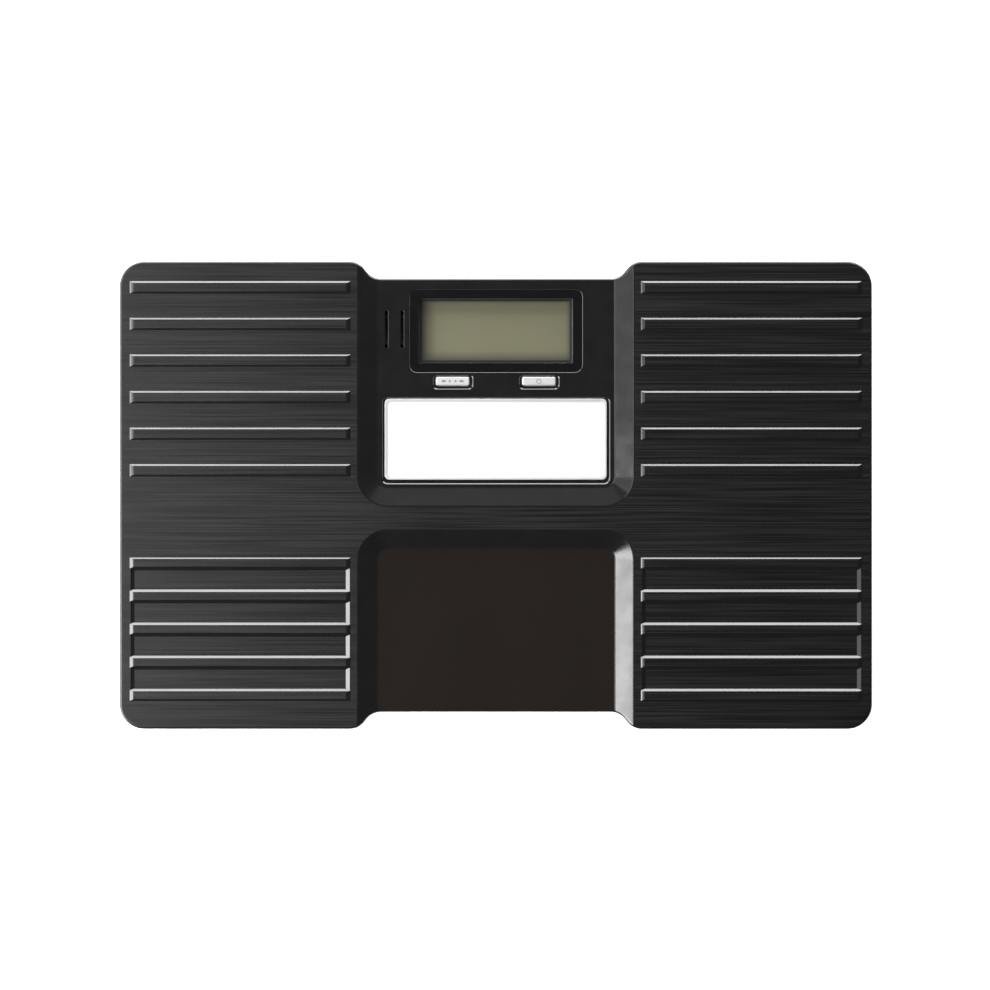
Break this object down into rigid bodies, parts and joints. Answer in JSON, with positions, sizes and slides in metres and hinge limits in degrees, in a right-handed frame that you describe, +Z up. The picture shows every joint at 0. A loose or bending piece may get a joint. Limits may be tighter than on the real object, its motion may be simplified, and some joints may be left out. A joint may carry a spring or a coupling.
{
  "type": "digital bathroom scale",
  "caption": "Extra-wide digital bathroom scale with a ribbed black platform, recessed display, two buttons, speaker, battery bay and load-cell feet.",
  "frame": {"origin": "centre of the scale on the floor that its four foot pads stand on", "axes": "+X to the right for the person who reads the display, +Y towards the display edge, +Z up"},
  "size_m": [0.56, 0.348, 0.0372],
  "materials": {
    "cover_black": "black ABS, moulded horizontal hairline on the platform, gloss on the slopes and recess floors",
    "plate_white": "satin white, blank",
    "lens_clear": "clear acrylic with a black printed border",
    "frame_black": "gloss black",
    "lcd_grey": "grey-green reflective liquid crystal panel, blank",
    "button_silver": "satin silver paint on moulded plastic",
    "switch_black": "matt black",
    "stem_white": "matt white",
    "board_green": "green solder mask",
    "speaker_metal": "plain stamped steel",
    "cone_paper": "black paper",
    "lead_sheath": "grey PVC",
    "plate_steel": "zinc-plated sheet",
    "housing_black": "black ABS, fine moulded texture",
    "screw_steel": "dark zinc",
    "cell_steel": "plain steel",
    "carrier_white": "natural ABS",
    "foot_grey": "dark grey, matt",
    "pad_rubber": "soft black rubber",
    "door_black": "black ABS, fine moulded texture",
    "battery_jacket": "plain two-tone sleeve, no print",
    "contact_nickel": "nickel plate"
  },
  "bodies": {
    "chassis": {"top_cover": "cover_black", "name_plate": "plate_white", "display_lens": "lens_clear", "display_frame": "frame_black", "lcd_panel": "lcd_grey", "mode_switch": "switch_black", "on_switch": "switch_black", "main_pcb": "board_green", "speaker": "speaker_metal", "speaker_cone": "cone_paper", "speaker_lead": "lead_sheath", "battery_lead": "lead_sheath", "cell_lead_front_left": "lead_sheath", "cell_lead_front_right": "lead_sheath", "cell_lead_rear_left": "lead_sheath", "cell_lead_rear_right": "lead_sheath", "stiffener_left": "plate_steel", "stiffener_right": "plate_steel", "bottom_housing": "housing_black", "housing_screw_1": "screw_steel", "housing_screw_2": "screw_steel", "housing_screw_3": "screw_steel", "housing_screw_4": "screw_steel", "housing_screw_5": "screw_steel", "housing_screw_6": "screw_steel", "load_cell_front_left": "cell_steel", "load_cell_front_right": "cell_steel", "load_cell_rear_left": "cell_steel", "load_cell_rear_right": "cell_steel", "cell_carrier_front_left": "carrier_white", "cell_carrier_front_right": "carrier_white", "cell_carrier_rear_left": "carrier_white", "cell_carrier_rear_right": "carrier_white", "battery_1": "battery_jacket", "battery_2": "battery_jacket", "battery_3": "battery_jacket", "battery_4": "battery_jacket", "battery_terminal_left": "contact_nickel", "battery_terminal_right": "contact_nickel", "battery_spring_1": "contact_nickel", "battery_spring_2": "contact_nickel", "battery_spring_3": "contact_nickel", "battery_spring_4": "contact_nickel", "foot_front_left": "foot_grey", "foot_front_right": "foot_grey", "foot_rear_left": "foot_grey", "foot_rear_right": "foot_grey", "foot_pad_front_left": "pad_rubber", "foot_pad_front_right": "pad_rubber", "foot_pad_rear_left": "pad_rubber", "foot_pad_rear_right": "pad_rubber"},
    "mode_key": {"mode_button": "button_silver", "mode_switch_stem": "stem_white"},
    "on_key": {"on_button": "button_silver", "on_switch_stem": "stem_white"},
    "door": {"battery_door": "door_black"}
  },
  "joints": [
    {"name": "mode_press", "type": "slide", "parent": "chassis", "child": "mode_key", "axis": [0, 0, -1], "range_m": [0, 0.0006], "stiffness_N_per_m": 2500},
    {"name": "on_press", "type": "slide", "parent": "chassis", "child": "on_key", "axis": [0, 0, -1], "range_m": [0, 0.0006], "stiffness_N_per_m": 2500},
    {"name": "door_hinge", "type": "hinge", "parent": "chassis", "child": "door", "pos_m": [0, -0.125, 0.006], "axis": [-1, 0, 0], "range_deg": [0, 95]}
  ]
}
